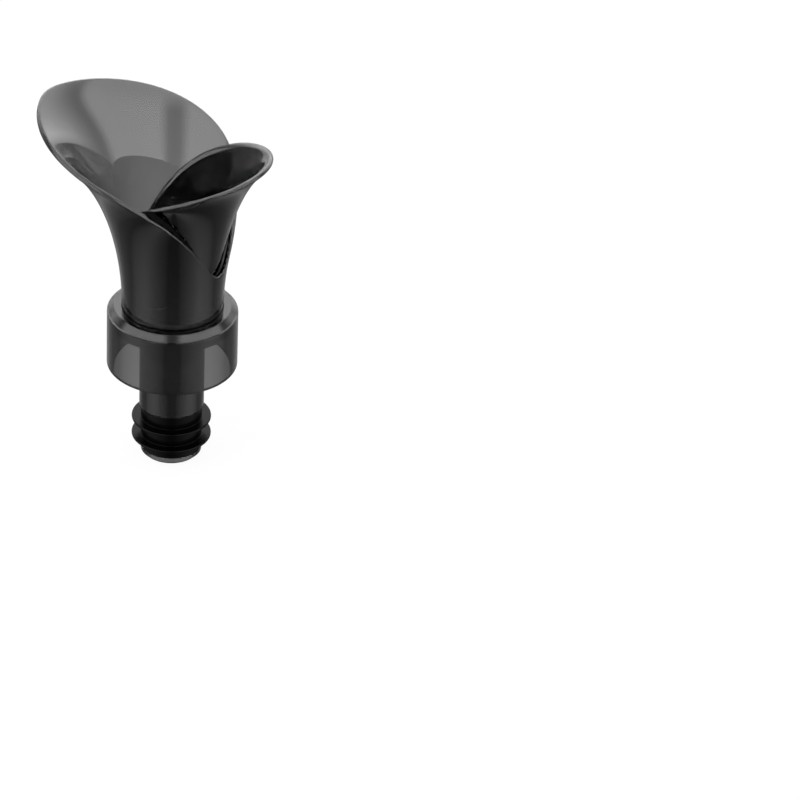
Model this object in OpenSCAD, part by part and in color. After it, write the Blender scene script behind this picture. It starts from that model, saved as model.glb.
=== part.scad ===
// Wine stopper and pourer: two nested trumpet petals on a bottle collar.
// The tall petal is fixed in the collar. The short one turns inside it about Z:
// turned away from the tall petal it shuts the port, turned to face it the wine pours.
// Z = 0 is the end of the stem, the pouring lip of the tall petal faces -Y. Millimetres.

/* [Stem] */
// Outer diameter of the stem, which goes down inside the bottle's neck
stem_d = 17.4; // [16.4:0.1:18.2]
// Diameter of the wine's way up through the stem
stem_bore_d = 12; // [10:0.5:12.5]
// Length of the stem below the collar's skirt
stem_drop = 28.1; // [24:0.5:36]
// Diameter of the waist that the rubber seal is stretched over
waist_d = 14.6; // [14:0.1:15]
// Height of the bare tip below the seal
tip_h = 2; // [1.5:0.1:3]
// Outer diameter of the tip
tip_d = 16.4; // [15.8:0.1:17]
// Width of the lead-in chamfer round the tip
tip_chamfer = 0.9; // [0.4:0.1:0.9]

/* [Stem seal] */
// Length of the rubber seal along the stem
seal_len = 13.1; // [12:0.1:15]
// Wall of the seal's sleeve between the fins
seal_wall = 1; // [0.7:0.1:1.2]
// Outer diameter of the two fins
fin_d = 21.4; // [19:0.1:22]
// Thickness of a fin at its edge
fin_edge = 0.7; // [0.5:0.1:1.2]
// Radius of the fillet between a fin and the sleeve
fin_fillet = 1.1; // [0.5:0.1:1.3]
// Height of the upper fin above the stem's end
upper_fin_z = 10.9; // [10:0.1:12]
// Height of the lower fin above the stem's end
lower_fin_z = 5.6; // [4.6:0.1:6]

/* [Collar] */
// Outer diameter of the collar
collar_d = 35; // [33:0.5:38]
// Height of the collar's straight side
collar_h = 16; // [15:0.5:20]
// Width of the chamfer round the collar's top
top_chamfer_w = 1.9; // [1:0.1:2.2]
// Height of the chamfer round the collar's top
top_chamfer_h = 1.67; // [1:0.01:2.2]
// Depth of the space over the bottle's lip
skirt_depth = 13; // [11:0.5:13.5]
// Wall of the skirt at its foot
skirt_foot_wall = 1.9; // [1.4:0.05:2.2]
// Wall of the skirt at the ceiling of that space
skirt_top_wall = 2; // [1.4:0.05:3]

/* [Port] */
// Diameter of the ports that the wine passes
port_d = 9; // [7:0.5:9]
// Land between a port and the bore of the short petal's barrel
port_land = 0.7; // [0.3:0.1:1.1]
// Thickness of the fixed seat
seat_t = 1; // [1:0.1:1.5]
// Thickness of the soft gasket
gasket_t = 0.6; // [0.6:0.1:1]
// Thickness of the turning disc
disc_t = 1.2; // [1.2:0.1:1.6]
// Height of the sealing ring that the disc holds up
ring_h = 1.3; // [1:0.1:1.6]
// Gap between turning and fixed faces
running_gap = 0.05; // [0.03:0.01:0.08]

/* [Tall petal] */
// Radius of the neck
tall_neck_r = 13.53; // [13.4:0.01:13.9]
// Reach of the flare, the half width of its ellipse
tall_flare_reach = 30; // [28:0.1:34]
// Rise of the flare, the half height of its ellipse
tall_flare_rise = 54.2; // [53:0.1:60]
// Wall at the neck
tall_neck_wall = 1.2; // [1:0.05:1.25]
// Wall at the rim
tall_rim_wall = 1.5; // [1.1:0.05:1.6]
// Height of the rim's line above the collar, before it dips to the lip
tall_rim_level = 56.9; // [54:0.1:58]
// Slope of that line towards the high side
tall_rim_slope = 0.108; // [0.05:0.002:0.15]
// Depth of the dip to the lip, taken at the axis
tall_rim_dip = 15.13; // [13.5:0.01:16]
// How far outside the neck the dip would be bottomless
tall_dip_margin = 3.2; // [3:0.01:4]

/* [Short petal] */
// Clearance between the barrel and the tall petal's neck, in which it turns
barrel_gap = 0.53; // [0.48:0.01:0.83]
// Depth of the start of the flare below the collar's top
short_flare_sink = 3.9; // [3.8:0.1:6]
// Reach of the flare, the half width of its ellipse
short_flare_reach = 23.3; // [20:0.1:23.5]
// How much more its flare rises than the tall petal's, which keeps the two clear of each other
short_flare_extra = 0.95; // [0.8:0.05:5]
// Wall at the neck
short_neck_wall = 1.2; // [1:0.05:1.3]
// Wall at the rim
short_rim_wall = 1.4; // [1.1:0.05:1.6]
// Height of the rim's line above the collar, before it dips to the lip
short_rim_level = 51.7; // [49:0.1:53]
// Slope of that line towards the high side
short_rim_slope = 0.174; // [0.1:0.002:0.2]
// Depth of the dip to the lip, taken at the axis
short_rim_dip = 14.07; // [12.5:0.01:14.4]
// How far outside the barrel the dip would be bottomless
short_dip_margin = 4.39; // [4:0.01:5]
// Height above the collar at which the ramp meets the axis
ramp_level = 27; // [24:0.1:29]
// Slope of the ramp towards the high side
ramp_slope = 0.68; // [0.6:0.01:0.75]
// Thickness of the ramp
ramp_t = 1.2; // [1:0.1:1.5]
// Diameter of the pouring well where it leaves the ramp
well_top_d = 12.8; // [11:0.1:13]
// Wall of the pouring well
well_wall = 1; // [0.8:0.1:1.2]

/* [Hidden] */
$fn = 96;

// Angle between the short petal's high side and the tall one's, shut
shut_turn = 180;
// Faces that are cut are overshot by this much
over = 1;
// Points up each flare, points up its turned foot, and steps round each rim
flare_steps = 15;
foot_steps = 5;
rim_steps = 72;
// Halvings in the search for the rim's height
search_depth = 30;
// Depth of the rebate in the neck's lower end, and play round the parts that lie in it
rebate = 0.8;
rebate_play = 0.1;
// Depth of the neck's step above the collar's top
step_rise = 1.25;
// Height above the collar's side at which the tall petal's flare starts
tall_flare_lift = 0.9;
// Least distance that the rim's line takes from where its dip would be bottomless
least_dip_r = 0.2;
// Height and wall of the spigot that fixes the disc in the barrel
disc_spigot_h = 1.2;
disc_spigot_wall = 0.8;
// Height of the funnel under the seat, and its margin round the port
funnel_h = 1.2;
funnel_margin = 0.4;
// Height above the collar up to which a petal's foot is turned in one piece
join_h = 6;
// How deep a petal's shell reaches into its foot, and how far it is set in there
join_depth = 1;
join_inset = 0.3;
// How far the pouring well is drawn above the middle of the ramp, and its wall below the ramp
well_overshoot = 4;
well_reach = 60;
// Share of the collar's top left flat between the chamfer and the socket
flat_share = 0.3;

seal_bottom_z = tip_h;
waist_top_z = tip_h + seal_len;
skirt_bottom_z = stem_drop;
side_top_z = skirt_bottom_z + collar_h;
collar_top_z = side_top_z + top_chamfer_h;
ceiling_z = skirt_bottom_z + skirt_depth;
seal_core_d = waist_d + 2 * seal_wall;

// The parts of the valve are stacked upwards from the floor of the collar's socket
neck_step_z = collar_top_z + step_rise;
ring_bottom_z = neck_step_z - ring_h;
disc_bottom_z = ring_bottom_z - disc_t;
gasket_bottom_z = disc_bottom_z - running_gap - gasket_t;
socket_floor_z = gasket_bottom_z - seat_t;
socket_r = tall_neck_r + running_gap;
// The neck's lower end is bored out over the stack, and the ring hangs under the step
stack_r = tall_neck_r - rebate;
valve_r = stack_r - rebate_play;
// The barrel turns in the neck, and the ports lie inside the barrel's bore
short_neck_r = tall_neck_r - tall_neck_wall - barrel_gap;
barrel_bore_r = short_neck_r - short_neck_wall;
port_offset = barrel_bore_r - port_land - port_d / 2;
disc_spigot_r = barrel_bore_r - running_gap;
funnel_r = port_offset + port_d / 2 + funnel_margin;

tall_flare_z = side_top_z + tall_flare_lift;
short_flare_z = collar_top_z - short_flare_sink;
short_flare_rise = tall_flare_rise + short_flare_extra;
join_z = collar_top_z + join_h;

// Radius of a flare at height z: a straight neck, then a quarter of an ellipse
function flare_r(z, neck_r, z0, reach, rise) =
    z <= z0 ? neck_r : neck_r + reach * (1 - sqrt(max(0, 1 - pow((z - z0) / rise, 2))));
// Slope of the same flare, outwards per unit of height
function flare_slope(z, z0, reach, rise) =
    z <= z0 ? 0 : reach * (z - z0) / (rise * rise) / sqrt(max(1e-4, 1 - pow((z - z0) / rise, 2)));
// Height of the rim's line over a distance h from the axis towards the high side
function rim_line(h, level, slope, dip, dip_r) =
    level + slope * h - dip * sqrt(dip_r / max(least_dip_r, h + dip_r));

// A petal's sizes are passed round as one list
// [neck_r, flare z0, reach, rise, neck wall, rim wall, rim level, slope, dip, dip radius]
function petal_r(p, z) = flare_r(z, p[0], p[1], p[2], p[3]);
function petal_slope(p, z) = flare_slope(z, p[1], p[2], p[3]);
function petal_wall(p, z) = p[4] + (p[5] - p[4]) * max(0, min(1, (z - p[1]) / p[3]));
function above_line(p, z, a) = z - rim_line(petal_r(p, z) * cos(a), p[6], p[7], p[8], p[9]);
function find_rim(p, a, low, high, n) =
    n <= 0 ? (low + high) / 2
    : above_line(p, (low + high) / 2, a) < 0 ? find_rim(p, a, (low + high) / 2, high, n - 1)
    : find_rim(p, a, low, (low + high) / 2, n - 1);
function rim_z(p, a) = find_rim(p, a, p[1], p[1] + 0.9995 * p[3], search_depth);

tall = [tall_neck_r, tall_flare_z, tall_flare_reach, tall_flare_rise, tall_neck_wall,
        tall_rim_wall, collar_top_z + tall_rim_level, tall_rim_slope, tall_rim_dip,
        tall_neck_r + tall_dip_margin];
short = [short_neck_r, short_flare_z, short_flare_reach, short_flare_rise, short_neck_wall,
         short_rim_wall, collar_top_z + short_rim_level, short_rim_slope, short_rim_dip,
         short_neck_r + short_dip_margin];

// Point of a flare in its section plane, set in from the outer face by some depth
function section_point(p, z, depth) =
    let (s = petal_slope(p, z), n = sqrt(1 + s * s))
    [petal_r(p, z) - depth / n, z + depth * s / n];
// Outline of a petal's turned foot: outer face upwards, inner face downwards
function foot_outer(p, from_z) =
    [for (i = [0:foot_steps]) section_point(p, from_z + (join_z - from_z) * i / foot_steps, 0)];
function foot_inner(p, from_z) =
    [for (i = [foot_steps:-1:0])
        let (z = from_z + (join_z - from_z) * i / foot_steps)
        [petal_r(p, z) - petal_wall(p, z), z]];
// Heights of a petal's shell at one turn from the high side, closer together near the rim
function shell_z(p, a, j) =
    let (low = join_z + join_inset)
    j == 0 ? join_z - join_depth
    : low + (rim_z(p, a) - low) * (1 - pow(1 - (j - 1) / (flare_steps - 1), 1.4));

// Petal's shell above its foot, with the rim's face square to the wall all round
module petal_shell(p) {
    // Each section runs up the outer face and down the inner one
    loop = 2 * (flare_steps + 1);
    points = [for (i = [0:rim_steps - 1])
        let (a = 360 * i / rim_steps)
        for (k = [0:loop - 1])
            let (inner = k > flare_steps, j = inner ? loop - 1 - k : k, z = shell_z(p, a, j),
                 inset = j == 0 ? join_inset : 0,
                 q = section_point(p, z, inner ? petal_wall(p, z) - inset : inset))
            [q[0] * sin(a), q[0] * cos(a), q[1]]];
    faces = [for (i = [0:rim_steps - 1]) for (k = [0:loop - 1])
        let (here = i * loop, there = (i + 1) % rim_steps * loop, m = (k + 1) % loop)
        each [[here + k, there + m, here + m], [here + k, there + k, there + m]]];
    polyhedron(points = points, faces = faces, convexity = 6);
}

// A ring of plain rectangular section
module ring(outer_r, inner_r, height) {
    difference() {
        cylinder(r = outer_r, h = height);
        translate([0, 0, -over]) cylinder(r = inner_r, h = height + 2 * over);
    }
}

// Tip, waist, stem, skirt and socket: one smoke-clear moulding turned about Z
module collar() {
    skirt_r = collar_d / 2;
    chamfer_w = min(top_chamfer_w, (1 - flat_share) * (skirt_r - socket_r));
    color([0.30, 0.30, 0.31, 0.75])
    rotate_extrude()
        polygon([
            [stem_bore_d / 2, 0],
            [tip_d / 2 - tip_chamfer, 0],
            [tip_d / 2, tip_chamfer],
            [tip_d / 2, tip_h],
            [waist_d / 2, tip_h],
            [waist_d / 2, waist_top_z],
            [stem_d / 2, waist_top_z],
            [stem_d / 2, ceiling_z],
            [skirt_r - skirt_top_wall, ceiling_z],
            [skirt_r - skirt_foot_wall, skirt_bottom_z],
            [skirt_r, skirt_bottom_z],
            [skirt_r, side_top_z],
            [skirt_r - chamfer_w, collar_top_z],
            [socket_r, collar_top_z],
            [socket_r, socket_floor_z],
            [funnel_r, socket_floor_z],
            [stem_bore_d / 2, socket_floor_z - funnel_h]]);
}

// One fin of the rubber seal, centred on z = 0, with a fillet to the sleeve on both sides
module fin_outline() {
    core_r = seal_core_d / 2;
    fillet = min(fin_fillet, fin_d / 2 - core_r);
    translate([waist_d / 2, -fin_edge / 2]) square([fin_d / 2 - waist_d / 2, fin_edge]);
    for (side = [0, 1])
        mirror([0, side])
            difference() {
                translate([waist_d / 2, fin_edge / 2])
                    square([core_r - waist_d / 2 + fillet, fillet]);
                translate([core_r + fillet, fin_edge / 2 + fillet])
                    circle(r = fillet);
            }
}

// Rubber sleeve with its two fins, stretched over the stem's waist
module stem_seal() {
    color([0.05, 0.05, 0.05])
    rotate_extrude() {
        translate([waist_d / 2, seal_bottom_z])
            square([(seal_core_d - waist_d) / 2, seal_len]);
        translate([0, upper_fin_z]) fin_outline();
        translate([0, lower_fin_z]) fin_outline();
    }
}

// Through hole of a port, at a turn about the axis
module port_hole(from_z, height) {
    translate([0, -port_offset, from_z - over])
        cylinder(d = port_d, h = height + 2 * over);
}

// Fixed seat on the floor of the socket
module port_seat() {
    color([0.35, 0.35, 0.36])
    difference() {
        translate([0, 0, socket_floor_z]) cylinder(r = valve_r, h = seat_t);
        port_hole(socket_floor_z, seat_t);
    }
}

// Soft gasket on the seat
module port_gasket() {
    color([0.80, 0.80, 0.80])
    difference() {
        translate([0, 0, gasket_bottom_z]) cylinder(r = valve_r, h = gasket_t);
        port_hole(gasket_bottom_z, gasket_t);
    }
}

// Soft ring round the barrel, under the step in the neck
module neck_ring() {
    color([0.80, 0.80, 0.80])
    translate([0, 0, ring_bottom_z + running_gap])
        ring(valve_r, petal_r(short, neck_step_z) + running_gap, ring_h - running_gap);
}

// Disc at the foot of the short petal, with its port away from the seat's when shut
module port_disc() {
    color([0.35, 0.35, 0.36])
    rotate([0, 0, shut_turn])
        difference() {
            union() {
                translate([0, 0, disc_bottom_z]) cylinder(r = valve_r, h = disc_t);
                translate([0, 0, ring_bottom_z - over])
                    ring(disc_spigot_r, disc_spigot_r - disc_spigot_wall, disc_spigot_h + over);
            }
            port_hole(disc_bottom_z, disc_t + disc_spigot_h);
        }
}

// Fixed trumpet, its neck standing in the collar's socket
module tall_petal() {
    bore_r = tall_neck_r - tall_neck_wall;
    color([0.36, 0.36, 0.37, 0.65]) {
        rotate_extrude()
            polygon(concat(
                [[stack_r, socket_floor_z], [tall_neck_r, socket_floor_z]],
                foot_outer(tall, tall_flare_z),
                [for (q = foot_inner(tall, tall_flare_z)) if (q[1] > neck_step_z) q],
                [[bore_r, neck_step_z], [stack_r, neck_step_z]]));
        petal_shell(tall);
    }
}

// Inside of the short petal up to the middle of its wall
module short_inside(from_z) {
    to_z = rim_z(short, 0);
    rotate_extrude()
        polygon(concat(
            [[0, from_z]],
            [for (i = [0:flare_steps])
                let (z = from_z + (to_z - from_z) * i / flare_steps)
                [petal_r(short, z) - petal_wall(short, z) / 2, z]],
            [[0, to_z]]));
}

// Side view of the ramp's plane, from some depth under its top down to another
module ramp_slab(from_depth, to_depth) {
    reach = 40;
    top_z = collar_top_z + ramp_level;
    rotate([90, 0, 90])
        translate([0, 0, -reach])
        linear_extrude(height = 2 * reach)
            polygon([
                [-reach, top_z - ramp_slope * reach - to_depth],
                [reach, top_z + ramp_slope * reach - to_depth],
                [reach, top_z + ramp_slope * reach - from_depth],
                [-reach, top_z - ramp_slope * reach - from_depth]]);
}

// The pouring well, a cone that narrows down to the port, with some wall round it
module well(wall, from_z, to_z) {
    low_z = ring_bottom_z;
    high_z = collar_top_z + ramp_level;
    widening = (well_top_d - port_d) / (high_z - low_z);
    translate([0, -port_offset, from_z])
        cylinder(d1 = port_d + widening * (from_z - low_z) + 2 * wall,
                 d2 = port_d + widening * (to_z - low_z) + 2 * wall,
                 h = to_z - from_z);
}

// Turning trumpet with its ramp and pouring well, open below over the disc
module short_petal() {
    foot_z = ring_bottom_z;
    well_foot_z = foot_z + disc_spigot_h + running_gap;
    well_end_z = collar_top_z + ramp_level + well_overshoot;
    color([0.36, 0.36, 0.37, 0.65])
    rotate([0, 0, shut_turn])
        difference() {
            union() {
                rotate_extrude() polygon(concat(foot_outer(short, foot_z), foot_inner(short, foot_z)));
                petal_shell(short);
                intersection() {
                    union() {
                        ramp_slab(0, ramp_t);
                        intersection() {
                            well(well_wall, well_foot_z, well_end_z);
                            ramp_slab(ramp_t / 2, well_reach);
                        }
                    }
                    short_inside(foot_z + disc_spigot_h + running_gap);
                }
            }
            well(0, foot_z - over, well_end_z + over);
        }
}

collar();
stem_seal();
port_seat();
port_gasket();
neck_ring();
port_disc();
tall_petal();
short_petal();
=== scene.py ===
# Wine stopper and pourer: the looks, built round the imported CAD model.
# All sizes are written in millimetres and turned to metres by MM.
import math
import bmesh
import bpy
from mathutils import Matrix, Vector


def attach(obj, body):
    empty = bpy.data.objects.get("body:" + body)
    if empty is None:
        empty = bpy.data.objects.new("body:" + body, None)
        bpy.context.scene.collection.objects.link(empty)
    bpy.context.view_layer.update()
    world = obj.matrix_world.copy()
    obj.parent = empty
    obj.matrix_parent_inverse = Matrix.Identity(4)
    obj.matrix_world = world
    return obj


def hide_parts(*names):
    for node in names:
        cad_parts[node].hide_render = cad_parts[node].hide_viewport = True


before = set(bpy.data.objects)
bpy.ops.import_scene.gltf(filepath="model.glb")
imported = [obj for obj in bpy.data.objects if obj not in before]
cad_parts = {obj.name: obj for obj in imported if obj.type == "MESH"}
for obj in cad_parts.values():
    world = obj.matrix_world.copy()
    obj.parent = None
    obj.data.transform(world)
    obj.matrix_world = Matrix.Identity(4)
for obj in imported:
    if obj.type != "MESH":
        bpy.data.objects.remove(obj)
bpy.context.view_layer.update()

# Camera
# The picture is taken from far off with a long lens, about 31 degrees above the table.
# The tall petal leans away to the left, and the pourer stands left of the frame's middle.
MM = 0.001
picture_pixels = 800
sensor_width_mm = 36
focal_pixels = 4999
nearest_drawn = 50 * MM
farthest_drawn = 20000 * MM
aim_point = Vector((0, 0, 50 * MM))
aim_pixel = Vector((172.88, 290.755))
camera_distance = 1330 * MM
camera_elevation = math.radians(31.19)
camera_bearing = math.radians(209.0)
camera_roll = math.radians(-0.708)

backwards = Vector((math.cos(camera_elevation) * math.cos(camera_bearing),
                    math.cos(camera_elevation) * math.sin(camera_bearing),
                    math.sin(camera_elevation)))
rightwards = Vector((0, 0, 1)).cross(backwards).normalized()
upwards = backwards.cross(rightwards)
straight_view = Matrix((rightwards, upwards, backwards))
off_axis = Vector(((aim_pixel.x - picture_pixels / 2) / focal_pixels,
                   (picture_pixels / 2 - aim_pixel.y) / focal_pixels, -1))
swing = Vector((0, 0, -1)).rotation_difference(off_axis).to_matrix()
view = swing @ Matrix.Rotation(camera_roll, 3, "Z") @ straight_view
camera = bpy.data.objects.new("camera", bpy.data.cameras.new("camera"))
bpy.context.collection.objects.link(camera)
camera.data.sensor_width = sensor_width_mm
camera.data.lens = focal_pixels / picture_pixels * sensor_width_mm
camera.data.clip_start = nearest_drawn
camera.data.clip_end = farthest_drawn
camera_place = aim_point + camera_distance * backwards
camera.matrix_world = Matrix.Translation(camera_place) @ view.transposed().to_4x4()
bpy.context.scene.camera = camera
bpy.context.scene.view_settings.view_transform = "Standard"

# Studio
# A light tent of white cloth: everything seen past or through the pourer is white.
# Its gloss mirrors tall lamps at both sides, a dark gap at the camera and a lamp high behind.


def linear(hex_colour):
    """Linear red, green, blue and alpha of an sRGB hex colour."""
    parts = [int(hex_colour[i:i + 2], 16) / 255 for i in (1, 3, 5)]
    return tuple(c / 12.92 if c <= 0.04045 else ((c + 0.055) / 1.055) ** 2.4 for c in parts) + (1.0,)


def add_node(tree, kind, inputs=None, **settings):
    """Adds a node to a tree, sets its settings and fills its inputs by value or link."""
    made = tree.nodes.new("ShaderNode" + kind)
    for name, value in settings.items():
        setattr(made, name, value)
    for name, value in (inputs or {}).items():
        if isinstance(value, bpy.types.NodeSocket):
            tree.links.new(value, made.inputs[name])
        else:
            made.inputs[name].default_value = value
    return made


tent_level = 1.0
# Refracted rays see the white table and tent, and a dark room where they are thrown upwards.
# Heights from here on are those of a direction: -1 straight down, 0 level and 1 straight up.
dark_from = math.sin(math.radians(3))
dark_to = math.sin(math.radians(25))
dark_level = 0.02
plain_level = 0.75
# Bearing from the camera in degrees, and the level that gloss mirrors there. The four lists are
# what lies under the horizon, the share that the dark gap at the camera leaves of the side lamps,
# the side lamps over the horizon, and the lamp behind.
low_levels = [(0, 0.28), (14, 0.28), (16, 0.42), (60, 1.1), (72, 1.05), (88, 0.75), (107, 0.28),
              (130, 0.26), (150, 0.36), (162, 0.45), (172, 0.15), (180, 0.1)]
front_levels = [(0, 0.12), (8, 0.2), (22, 1.0), (180, 1.0)]
high_levels = [(0, 3.2), (88, 3.2), (102, 0.75), (108, 0.7), (150, 1.0), (180, 1.0)]
back_levels = [(0, 0), (108, 0), (134, 1.5), (150, 1.8), (180, 1.7)]
half_turn = 180
# A colour ramp holds shares from 0 to 1, so the levels are kept as shares of this one
brightest = 4.5
overhead_level = 2.6
overhead_from = 0.72
overhead_to = 0.94
# The lamps lean back: from some height on, their edges lie further round
band_bend = 105
band_bend_from = 0.25
back_from = 0.02
back_to = 0.24
horizon_from = -0.5
horizon_to = 0.0
# The table takes light away from what is mirrored steeply downwards
table_steep = -0.95
table_flat = -0.52
table_share = 0.35

world = bpy.data.worlds.new("light_tent")
bpy.context.scene.world = world
world.use_nodes = True
tent = world.node_tree
tent.nodes.clear()


def combined(operation, first, second):
    """Result of one sum or product of two values in the tent's tree."""
    return add_node(tent, "Math", {0: first, 1: second}, operation=operation).outputs[0]


def mixed(factor, first, second):
    """A value that goes from the first to the second as a factor goes from 0 to 1."""
    return add_node(tent, "Mix", {"Factor": factor, "A": first, "B": second}).outputs["Result"]


def profile(degrees, levels):
    """Level at a bearing, from a list of bearings and levels with straight runs between them."""
    ramp = add_node(tent, "ValToRGB", {"Fac": combined("DIVIDE", degrees, half_turn)})
    stops = ramp.color_ramp.elements
    while len(stops) < len(levels):
        stops.new(1.0)
    for stop, (place, level) in zip(stops, levels):
        share = level / brightest
        stop.position = place / half_turn
        stop.color = (share, share, share, 1)
    return combined("MULTIPLY", ramp.outputs["Color"], brightest)


def fade(value, low, high):
    """0 to 1 as a value goes from low to high."""
    made = add_node(tent, "MapRange", {"Value": value, "From Min": low, "From Max": high},
                    interpolation_type="SMOOTHSTEP")
    return made.outputs["Result"]


direction = add_node(tent, "TexCoord").outputs["Generated"]
turned = add_node(tent, "VectorRotate", {"Vector": direction, "Angle": -camera_bearing},
                  rotation_type="Z_AXIS")
across = add_node(tent, "SeparateXYZ", {"Vector": turned.outputs[0]})
signed_bearing = combined("ARCTAN2", across.outputs["Y"], across.outputs["X"])
bearing = combined("MULTIPLY", combined("ABSOLUTE", signed_bearing, 0), half_turn / math.pi)
height = across.outputs["Z"]
over_band = combined("MAXIMUM", combined("SUBTRACT", height, band_bend_from), 0)
bend = combined("MULTIPLY", combined("POWER", over_band, 2), band_bend)
bent_bearing = combined("SUBTRACT", bearing, bend)
sides = combined("MULTIPLY", profile(bearing, front_levels), profile(bent_bearing, high_levels))
back = combined("MULTIPLY", profile(bent_bearing, back_levels), fade(height, back_from, back_to))
around = combined("ADD", sides, back)
high = mixed(fade(height, overhead_from, overhead_to), around, overhead_level)
towards_table = add_node(tent, "MapRange", {
    "Value": height, "From Min": table_steep, "From Max": table_flat,
    "To Min": table_share, "To Max": 1.0}).outputs["Result"]
low = combined("MULTIPLY", profile(bearing, low_levels), towards_table)
mirrored = mixed(fade(height, horizon_from, horizon_to), low, high)
backdrop = mixed(fade(height, dark_from, dark_to), tent_level, dark_level)
path = add_node(tent, "LightPath")
for_gloss = mixed(path.outputs["Is Glossy Ray"], plain_level, mirrored)
for_refraction = mixed(path.outputs["Is Transmission Ray"], for_gloss, backdrop)
strength = mixed(path.outputs["Is Camera Ray"], for_refraction, tent_level)
background = add_node(tent, "Background", {"Color": linear("#FFFFFF"), "Strength": strength})
add_node(tent, "OutputWorld", {"Surface": background.outputs[0]})

# Soft top lamp
# One large soft lamp, high up on the camera's left, gives the rubber and the table their shading.
# Gloss doesn't mirror it, so that the clear mouldings show the tent alone.
lamp_size = 600 * MM
lamp_watts = 2.0
lamp_place = Vector((-700, 350, 900)) * MM
top_lamp = bpy.data.objects.new("top_lamp", bpy.data.lights.new("top_lamp", "AREA"))
bpy.context.collection.objects.link(top_lamp)
top_lamp.data.size = lamp_size
top_lamp.data.energy = lamp_watts
top_lamp.location = lamp_place
top_lamp.rotation_euler = (-lamp_place).to_track_quat("-Z", "Y").to_euler()
top_lamp.visible_glossy = False

# Floor
# A plain white table top that the stem's tip stands on. The camera sees it as white as the tent,
# but for the share of its real paint that keeps the pourer's faint shadow.
floor_reach = 3000 * MM
shadow_share = 0.12
table_glow = 1.06


def new_material(name):
    """An empty node material, with its tree."""
    made = bpy.data.materials.new(name)
    made.use_nodes = True
    made.node_tree.nodes.clear()
    return made, made.node_tree


white_table, tree = new_material("white_table_top")
camera_ray = add_node(tree, "LightPath").outputs["Is Camera Ray"]
paint = add_node(tree, "BsdfDiffuse", {"Color": linear("#F2F2F2")})
glow = add_node(tree, "Emission", {"Color": linear("#FFFFFF"), "Strength": table_glow})
glow_share = add_node(tree, "Math", {0: camera_ray, 1: 1 - shadow_share}, operation="MULTIPLY")
table_mix = add_node(tree, "MixShader", {0: glow_share.outputs[0], 1: paint.outputs[0], 2: glow.outputs[0]})
add_node(tree, "OutputMaterial", {"Surface": table_mix.outputs[0]})
floor_mesh = bpy.data.meshes.new("floor")
floor_corners = [(-floor_reach, -floor_reach, 0), (floor_reach, -floor_reach, 0),
                 (floor_reach, floor_reach, 0), (-floor_reach, floor_reach, 0)]
floor_mesh.from_pydata(floor_corners, [], [(0, 1, 2, 3)])
floor = bpy.data.objects.new("floor", floor_mesh)
bpy.context.collection.objects.link(floor)
floor.data.materials.append(white_table)
floor.visible_glossy = False
floor.visible_transmission = False

# Collar
# Tip, waist, hollow stem, skirt and socket in one piece, injection moulded in smoke-clear acrylic
# in a polished mould. The tall petal's neck is pressed into its socket.
bore_r = 6.0
tip_r = 8.2
tip_height = 2.0
tip_chamfer = 0.9
waist_r = 7.3
waist_top = 15.1
stem_r = 8.7
stem_drop = 28.1
skirt_depth = 13
skirt_foot_wall = 1.9
skirt_top_wall = 2
ceiling = stem_drop + skirt_depth
collar_radius = 17.5
side_top = 44.1
collar_top = 45.77
top_chamfer = 1.9
socket_r = 13.58
socket_floor = 42.87
funnel_r = 10.3
funnel_depth = 1.2
# Faces that touch are drawn this far apart, so that light tells one material from the next
touch_gap = 0.03
# A narrow ledge runs round the foot of the top's chamfer
ledge = 0.45
# Radius, height and fillet of each corner of the section, from the tip's bore outwards and up
collar_corners = [
    (bore_r, 0, 0.2), (tip_r - tip_chamfer, 0, 0.15), (tip_r, tip_chamfer, 0.15), (tip_r, tip_height, 0.05),
    (waist_r, tip_height, 0.05), (waist_r, waist_top, 0.05), (stem_r, waist_top, 0.3), (stem_r, ceiling, 0.5),
    (collar_radius - skirt_top_wall, ceiling, 0.5), (collar_radius - skirt_foot_wall, stem_drop, 0.15),
    (collar_radius, stem_drop, 0.2), (collar_radius, side_top, 0.1), (collar_radius - ledge, side_top, 0.1),
    (collar_radius - top_chamfer, collar_top, 0.2), (socket_r, collar_top, 0.15),
    (socket_r, socket_floor - touch_gap, 0.05), (funnel_r, socket_floor - touch_gap, 0.1),
    (bore_r, socket_floor - funnel_depth, 0.2)]
turn_steps = 240


def rounded(corners, arc_steps=4):
    """Closed outline with each corner (radius, height, fillet) rounded by its fillet."""
    outline = []
    for i, (r, z, fillet) in enumerate(corners):
        here = Vector((r, z))
        before = Vector(corners[i - 1][:2])
        after = Vector(corners[(i + 1) % len(corners)][:2])
        to_before = (before - here).normalized()
        to_after = (after - here).normalized()
        half_angle = to_before.angle(to_after) / 2
        setback = fillet / math.tan(half_angle)
        centre = here + (to_before + to_after).normalized() * fillet / math.sin(half_angle)
        start = here + to_before * setback - centre
        end = here + to_after * setback - centre
        sweep = start.angle_signed(end)
        for k in range(arc_steps + 1):
            turned_arm = Matrix.Rotation(-sweep * k / arc_steps, 2) @ start
            outline.append(centre + turned_arm)
    return outline


def finish_mesh(mesh, sharp_degrees=30):
    """Outward faces and smooth shading, but for edges where the surface turns by more than an angle."""
    work = bmesh.new()
    work.from_mesh(mesh)
    bmesh.ops.recalc_face_normals(work, faces=work.faces)
    work.to_mesh(mesh)
    work.free()
    mesh.shade_smooth()
    mesh.set_sharp_from_angle(angle=math.radians(sharp_degrees))


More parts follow.
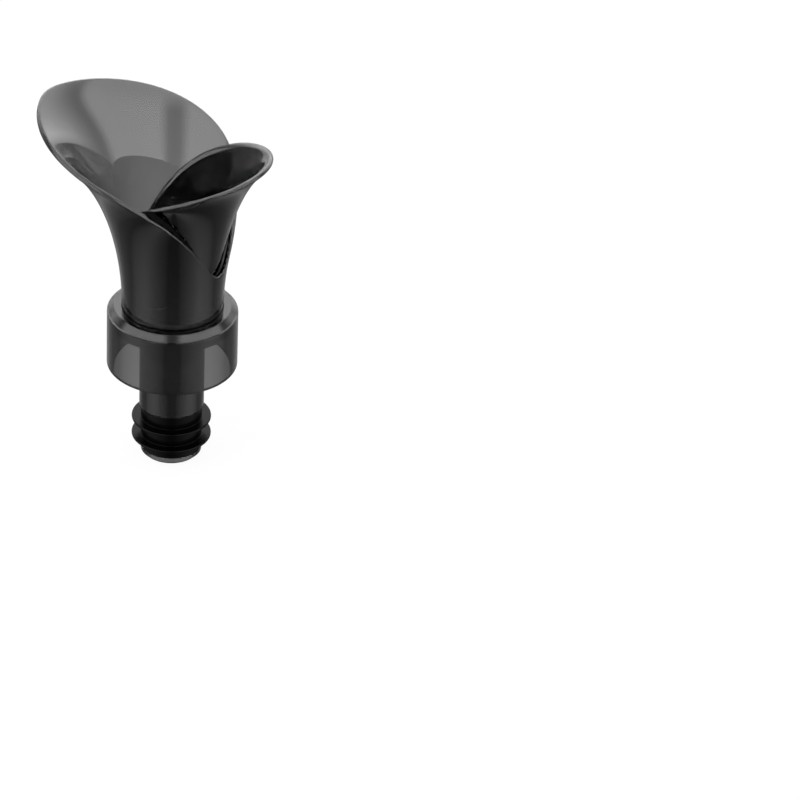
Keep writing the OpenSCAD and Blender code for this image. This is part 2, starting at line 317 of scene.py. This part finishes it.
def closed_mesh(name, sections):
    """Mesh object from equal closed outlines of points that follow each other round the axis."""
    count = len(sections[0])
    vertices = [p for section in sections for p in section]
    faces = []
    for i in range(len(sections)):
        j = (i + 1) % len(sections)
        for k in range(count):
            m = (k + 1) % count
            faces.append((i * count + k, j * count + k, j * count + m, i * count + m))
    mesh = bpy.data.meshes.new(name)
    mesh.from_pydata(vertices, [], faces)
    finish_mesh(mesh)
    made = bpy.data.objects.new(name, mesh)
    bpy.context.collection.objects.link(made)
    return made


def keep_faces_flat(piece):
    """Shading normals weighted by face area, so that a fillet doesn't bend the faces beside it."""
    step = piece.modifiers.new("flat_faces", "WEIGHTED_NORMAL")
    step.keep_sharp = True
    step.weight = 100


def lathe(name, outline):
    """Closed outline of (radius, height) in millimetres turned about the axis."""
    turns = [2 * math.pi * i / turn_steps for i in range(turn_steps)]
    return closed_mesh(name, [[(p[0] * math.cos(a) * MM, p[0] * math.sin(a) * MM, p[1] * MM)
                               for p in outline] for a in turns])


# Injection moulded acrylic is clear right through: its smoke dye darkens it by thickness, the
# polished mould leaves it glossy with patches of faint haze, and the melt's flow a slight waviness.
acrylic_ior = 1.49
haze_mm = 6
most_roughness = 0.006
flow_mm = 9
flow_depth_mm = 0.02
collar_darkness = 1.0


def smoke_acrylic(name, darkness_per_mm):
    """Smoke-dyed acrylic that takes away light by the millimetre."""
    made, tree = new_material(name)
    place = add_node(tree, "TexCoord").outputs["Object"]
    haze = add_node(tree, "TexNoise", {"Vector": place, "Scale": 1 / (haze_mm * MM), "Detail": 3})
    gloss = add_node(tree, "MapRange", {"Value": haze.outputs[0], "To Min": 0.0, "To Max": most_roughness})
    flow = add_node(tree, "TexNoise", {"Vector": place, "Scale": 1 / (flow_mm * MM), "Detail": 1})
    ripple = add_node(tree, "Bump", {
        "Height": flow.outputs[0], "Distance": flow_depth_mm * MM, "Strength": 0.25})
    surface = add_node(tree, "BsdfPrincipled", {
        "Base Color": linear("#FFFFFF"), "IOR": acrylic_ior, "Transmission Weight": 1.0,
        "Roughness": gloss.outputs[0], "Normal": ripple.outputs[0]})
    tint = linear("#E7E7E7")
    density = darkness_per_mm / MM / (1 - tint[1])
    inside = add_node(tree, "VolumeAbsorption", {"Color": tint, "Density": density})
    add_node(tree, "OutputMaterial", {"Surface": surface.outputs[0], "Volume": inside.outputs[0]})
    return made


smoke_clear = smoke_acrylic("smoke_clear_acrylic", collar_darkness)
collar = lathe("collar_moulding", rounded(collar_corners))
keep_faces_flat(collar)
collar.data.materials.append(smoke_clear)
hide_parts("collar")
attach(collar, "base")

# Stem seal
# A sleeve of black thermoplastic rubber with two thin fins, moulded in one piece and
# stretched over the stem's waist between the tip and the stem's shoulder.
sleeve_r = 8.3
fin_r = 10.7
fin_half = 0.35
fin_round = 0.25
fin_root = 0.12
fin_heights = (5.6, 10.9)
sleeve_round = 0.3
sleeve_bore_r = waist_r + touch_gap
seal_foot = tip_height + touch_gap
seal_top = waist_top - touch_gap
seal_corners = [(sleeve_bore_r, seal_foot, 0.05), (sleeve_r, seal_foot, sleeve_round)]
for fin_z in fin_heights:
    seal_corners += [
        (sleeve_r, fin_z - fin_half, fin_root), (fin_r, fin_z - fin_half, fin_round),
        (fin_r, fin_z + fin_half, fin_round), (sleeve_r, fin_z + fin_half, fin_root)]
seal_corners += [(sleeve_r, seal_top, sleeve_round), (sleeve_bore_r, seal_top, 0.05)]
# Soot-black rubber from a fine-blasted mould: a skin of 0.25 mm grain that mirrors little and
# softly, with larger patches that shine more where the mould is worn
grain_mm = 0.25
grain_depth_mm = 0.01
patch_mm = 4
black_rubber, tree = new_material("black_thermoplastic_rubber")
place = add_node(tree, "TexCoord").outputs["Object"]
grain = add_node(tree, "TexNoise", {"Vector": place, "Scale": 1 / (grain_mm * MM), "Detail": 2})
skin = add_node(tree, "Bump", {"Height": grain.outputs[0], "Distance": grain_depth_mm * MM, "Strength": 0.4})
patches = add_node(tree, "TexNoise", {"Vector": place, "Scale": 1 / (patch_mm * MM), "Detail": 3})
satin = add_node(tree, "MapRange", {"Value": patches.outputs[0], "To Min": 0.16, "To Max": 0.3})
rubber_surface = add_node(tree, "BsdfPrincipled", {
    "Base Color": linear("#030303"), "IOR": 1.5, "Specular IOR Level": 0.07,
    "Roughness": satin.outputs[0], "Normal": skin.outputs[0]})
add_node(tree, "OutputMaterial", {"Surface": rubber_surface.outputs[0]})
seal = lathe("rubber_seal", rounded(seal_corners, 6))
keep_faces_flat(seal)
seal.data.materials.append(black_rubber)
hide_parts("stem_seal")
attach(seal, "base")

# Port seat and port disc
# Two flat mouldings of the same acrylic: the seat is fixed in the socket and the disc turns with
# the short petal, so that their ports meet when the pourer is turned open.
for part_name in ("port_seat", "port_disc"):
    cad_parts[part_name].material_slots[0].material = smoke_clear

# Gasket and neck ring
# Two soft parts pressed from silicone: the gasket lies on the seat, and the ring lies round the
# short petal's barrel, under the step in the tall petal's neck.
# Silicone is milky and half matt, with a faint bloom in patches of 1.5 mm.
bloom_mm = 1.5
silicone_ior = 1.41
clear_silicone, tree = new_material("translucent_silicone")
place = add_node(tree, "TexCoord").outputs["Object"]
bloom = add_node(tree, "TexNoise", {"Vector": place, "Scale": 1 / (bloom_mm * MM), "Detail": 4})
matt = add_node(tree, "MapRange", {"Value": bloom.outputs[0], "To Min": 0.35, "To Max": 0.55})
silicone_surface = add_node(tree, "BsdfPrincipled", {
    "Base Color": linear("#F4F3EF"), "IOR": silicone_ior, "Transmission Weight": 0.1,
    "Roughness": matt.outputs[0]})
add_node(tree, "OutputMaterial", {"Surface": silicone_surface.outputs[0]})
for part_name in ("port_gasket", "neck_ring"):
    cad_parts[part_name].material_slots[0].material = clear_silicone

# Tall petal
# The outer trumpet, moulded in the same acrylic as one thin wall of revolution and cut away to a
# low lip on one side. Its rim is square to the wall, with a small round outside and a longer one inside.
petal_turns = 288
petal_levels = 56
# The levels of a section lie closer together near the rim, by this power
crowding = 1.4
edge_round = 0.45
edge_steps = 6
# The ellipse's own top, where its slope has no end, is left out
nearly_top = 0.9995
halvings = 40
least_dip_r = 0.2
neck_step = collar_top + 1.25
neck_bore_r = 12.33
rebate_r = 12.73
foot_lift = 0.05
tall_high_side = math.pi / 2
tall_darkness = 1.45


class Flare:
    """A straight neck that flares as a quarter of an ellipse, with a sloping, dipping rim."""

    def __init__(self, neck_r, start, reach, rise, neck_wall, rim_wall, level, slope, dip, dip_r,
                 lip_in, lip_down):
        self.neck_r = neck_r
        self.start = start
        self.reach = reach
        self.rise = rise
        self.neck_wall = neck_wall
        self.rim_wall = rim_wall
        self.level = level
        self.rim_slope = slope
        self.dip = dip
        self.dip_r = dip_r
        self.lip_in = lip_in
        self.lip_down = lip_down

    def share(self, z):
        """How far up the ellipse a height lies, from 0 to 1."""
        return min(max((z - self.start) / self.rise, 0), nearly_top)

    def radius(self, z):
        """Outer radius at a height."""
        return self.neck_r + self.reach * (1 - math.sqrt(1 - self.share(z) ** 2))

    def slope(self, z):
        """Outward slope per unit of height."""
        return self.reach * self.share(z) / self.rise / math.sqrt(1 - self.share(z) ** 2)

    def wall(self, z):
        """Thickness of the wall at a height."""
        return self.neck_wall + (self.rim_wall - self.neck_wall) * self.share(z)

    def rim(self, turn):
        """Height of the rim's outer edge at a turn from the high side."""
        low = self.start
        high = self.start + self.rise * nearly_top
        for _ in range(halvings):
            middle = (low + high) / 2
            h = self.radius(middle) * math.cos(turn)
            dip_share = math.sqrt(self.dip_r / max(least_dip_r, h + self.dip_r))
            if middle < self.level + self.rim_slope * h - self.dip * dip_share:
                low = middle
            else:
                high = middle
        return (low + high) / 2

    def point(self, z, depth):
        """Point of the section at a height of the outer face, set in by a depth."""
        s = self.slope(z)
        n = math.sqrt(1 + s * s)
        return Vector((self.radius(z) - depth / n, z + depth * s / n))

    def outline(self, turn, foot):
        """Outer face up, rounded rim and inner face down, from a foot height."""
        top = self.rim(turn)
        s = self.slope(top)
        n = math.sqrt(1 + s * s)
        along = Vector((s, 1)) / n
        inward = Vector((-1, s)) / n
        corner = Vector((self.radius(top), top))
        thick = self.wall(top)
        shares = [1 - (1 - j / petal_levels) ** crowding for j in range(petal_levels + 1)]
        outer = [self.point(foot + (top - edge_round / n - foot) * share, 0) for share in shares]
        inner_heights = [foot + (top - self.lip_down / n - foot) * share for share in reversed(shares)]
        inner = [self.point(z, self.wall(z)) for z in inner_heights]
        rim_points = []
        for k in range(1, edge_steps + 1):
            a = math.pi / 2 * k / edge_steps
            rim_points.append(corner + along * edge_round * (math.sin(a) - 1)
                              + inward * edge_round * (1 - math.cos(a)))
        for k in range(edge_steps):
            a = math.pi / 2 * k / edge_steps
            rim_points.append(corner + along * self.lip_down * (math.cos(a) - 1)
                              + inward * (thick - self.lip_in * (1 - math.sin(a))))
        return outer + rim_points + inner


def petal_sections(flare, foot, high_side, below):
    """Sections of a petal round the axis; below gives the points that close each one at its foot."""
    sections = []
    for i in range(petal_turns):
        turn = 2 * math.pi * i / petal_turns
        bearing_of_section = high_side + turn
        outline = flare.outline(turn, foot) + below
        sections.append([(p[0] * math.cos(bearing_of_section) * MM, p[0] * math.sin(bearing_of_section) * MM,
                          p[1] * MM) for p in outline])
    return sections


tall = Flare(neck_r=13.53, start=side_top + 0.9, reach=30.0, rise=54.2, neck_wall=1.2, rim_wall=1.5,
             level=collar_top + 56.9, slope=0.108, dip=15.13, dip_r=13.53 + 3.2,
             lip_in=0.6, lip_down=0.8)
tall_foot = [(neck_bore_r, neck_step), (rebate_r, neck_step), (rebate_r, socket_floor + touch_gap),
             (tall.neck_r, socket_floor + touch_gap)]
tall_sections = petal_sections(tall, neck_step + foot_lift, tall_high_side, tall_foot)
tall_petal = closed_mesh("tall_petal_shell", tall_sections)
keep_faces_flat(tall_petal)
tall_smoke = smoke_acrylic("smoke_clear_acrylic_petal", tall_darkness)
tall_petal.data.materials.append(tall_smoke)
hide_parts("tall_petal")
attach(tall_petal, "base")

# Short petal
# The inner trumpet, moulded in one piece with the ramp that crosses it and the well that leads
# down to the port. It is pushed into the neck from above and turns there.
barrel_foot = 45.72
short = Flare(neck_r=11.8, start=collar_top - 3.9, reach=23.3, rise=55.15, neck_wall=1.2, rim_wall=1.4,
              level=collar_top + 51.7, slope=0.174, dip=14.07, dip_r=11.8 + 4.39,
              lip_in=0.8, lip_down=2.0)
short_high_side = -math.pi / 2
ramp_level = collar_top + 27
ramp_slope = 0.68
ramp_thick = 1.2
port_offset = 5.4
port_r = 4.5
well_top_r = 6.4
well_wall = 1.0
well_foot = barrel_foot + 1.25
cut_below = 1
cut_above = 3
round_steps = 160
# Rounds that the search takes for the place where two curved faces meet
settling = 60
weld_reach = 0.002 * MM
short_darkness = 3.0


def ramp_height(h):
    """Height of the ramp's upper face at a distance towards the high side."""
    return ramp_level + ramp_slope * h


def well_radius(z):
    """Inner radius of the well's cone at a height."""
    return port_r + (well_top_r - port_r) * (z - barrel_foot) / (ramp_level - barrel_foot)


def towards_high_side(h, side, z):
    """Point in the part's frame from one that is placed by the short petal's high side."""
    return (-side * math.sin(short_high_side) * MM + h * math.cos(short_high_side) * MM,
            h * math.sin(short_high_side) * MM + side * math.cos(short_high_side) * MM, z * MM)


def capped_tube(name, lower_ring, upper_ring):
    """Closed solid between two rings of equal numbers of points."""
    count = len(lower_ring)
    faces = [tuple(range(count)), tuple(range(count, 2 * count))]
    faces += [(k, (k + 1) % count, count + (k + 1) % count, count + k) for k in range(count)]
    mesh = bpy.data.meshes.new(name)
    mesh.from_pydata(lower_ring + upper_ring, [], faces)
    finish_mesh(mesh)
    made = bpy.data.objects.new(name, mesh)
    bpy.context.collection.objects.link(made)
    return made


def ramp_ring(drop):
    """Edge of the ramp in the middle of the petal's wall, some way under its upper face."""
    ring = []
    for i in range(round_steps):
        a = 2 * math.pi * i / round_steps
        r = short.neck_r
        for _ in range(settling):
            z = ramp_height(r * math.cos(a)) - drop
            r += 0.5 * (short.radius(z) - short.wall(z) / 2 - r)
        h = r * math.cos(a)
        ring.append(towards_high_side(h, r * math.sin(a), ramp_height(h) - drop))
    return ring


def well_ring(height_at, wall):
    """Ring of the well's cone where it meets a height that depends on the place."""
    ring = []
    for i in range(round_steps):
        a = 2 * math.pi * i / round_steps
        z = ramp_level
        for _ in range(settling):
            r = well_radius(z) + wall
            z = height_at(-port_offset + r * math.cos(a))
        ring.append(towards_high_side(-port_offset + r * math.cos(a), r * math.sin(a), z))
    return ring


def join_solids(whole, other, operation):
    """Adds a solid to another or cuts it away, and deletes the second one."""
    step = whole.modifiers.new("join", "BOOLEAN")
    step.operation = operation
    step.solver = "EXACT"
    step.object = other
    finished = whole.evaluated_get(bpy.context.evaluated_depsgraph_get())
    result = bpy.data.meshes.new_from_object(finished)
    whole.modifiers.clear()
    whole.data = result
    bpy.data.objects.remove(other)


short_petal = closed_mesh("short_petal_shell", petal_sections(short, barrel_foot, short_high_side, []))
ramp = capped_tube("ramp", ramp_ring(ramp_thick), ramp_ring(0))
join_solids(short_petal, ramp, "UNION")
well_outside = capped_tube("well_outside", well_ring(lambda h: well_foot, well_wall),
                           well_ring(lambda h: ramp_height(h) - ramp_thick / 2, well_wall))
join_solids(short_petal, well_outside, "UNION")
well_inside = capped_tube("well_inside", well_ring(lambda h: barrel_foot - cut_below, 0),
                          well_ring(lambda h: ramp_height(h) + cut_above, 0))
join_solids(short_petal, well_inside, "DIFFERENCE")
# The cuts leave points on top of each other and slivers with no area
welded = bmesh.new()
welded.from_mesh(short_petal.data)
bmesh.ops.remove_doubles(welded, verts=welded.verts, dist=weld_reach)
bmesh.ops.dissolve_degenerate(welded, edges=welded.edges, dist=weld_reach)
welded.to_mesh(short_petal.data)
welded.free()
finish_mesh(short_petal.data)
short_petal.data.materials.clear()
short_smoke = smoke_acrylic("dark_smoke_acrylic_petal", short_darkness)
short_petal.data.materials.append(short_smoke)
keep_faces_flat(short_petal)
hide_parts("short_petal")
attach(short_petal, "spout")
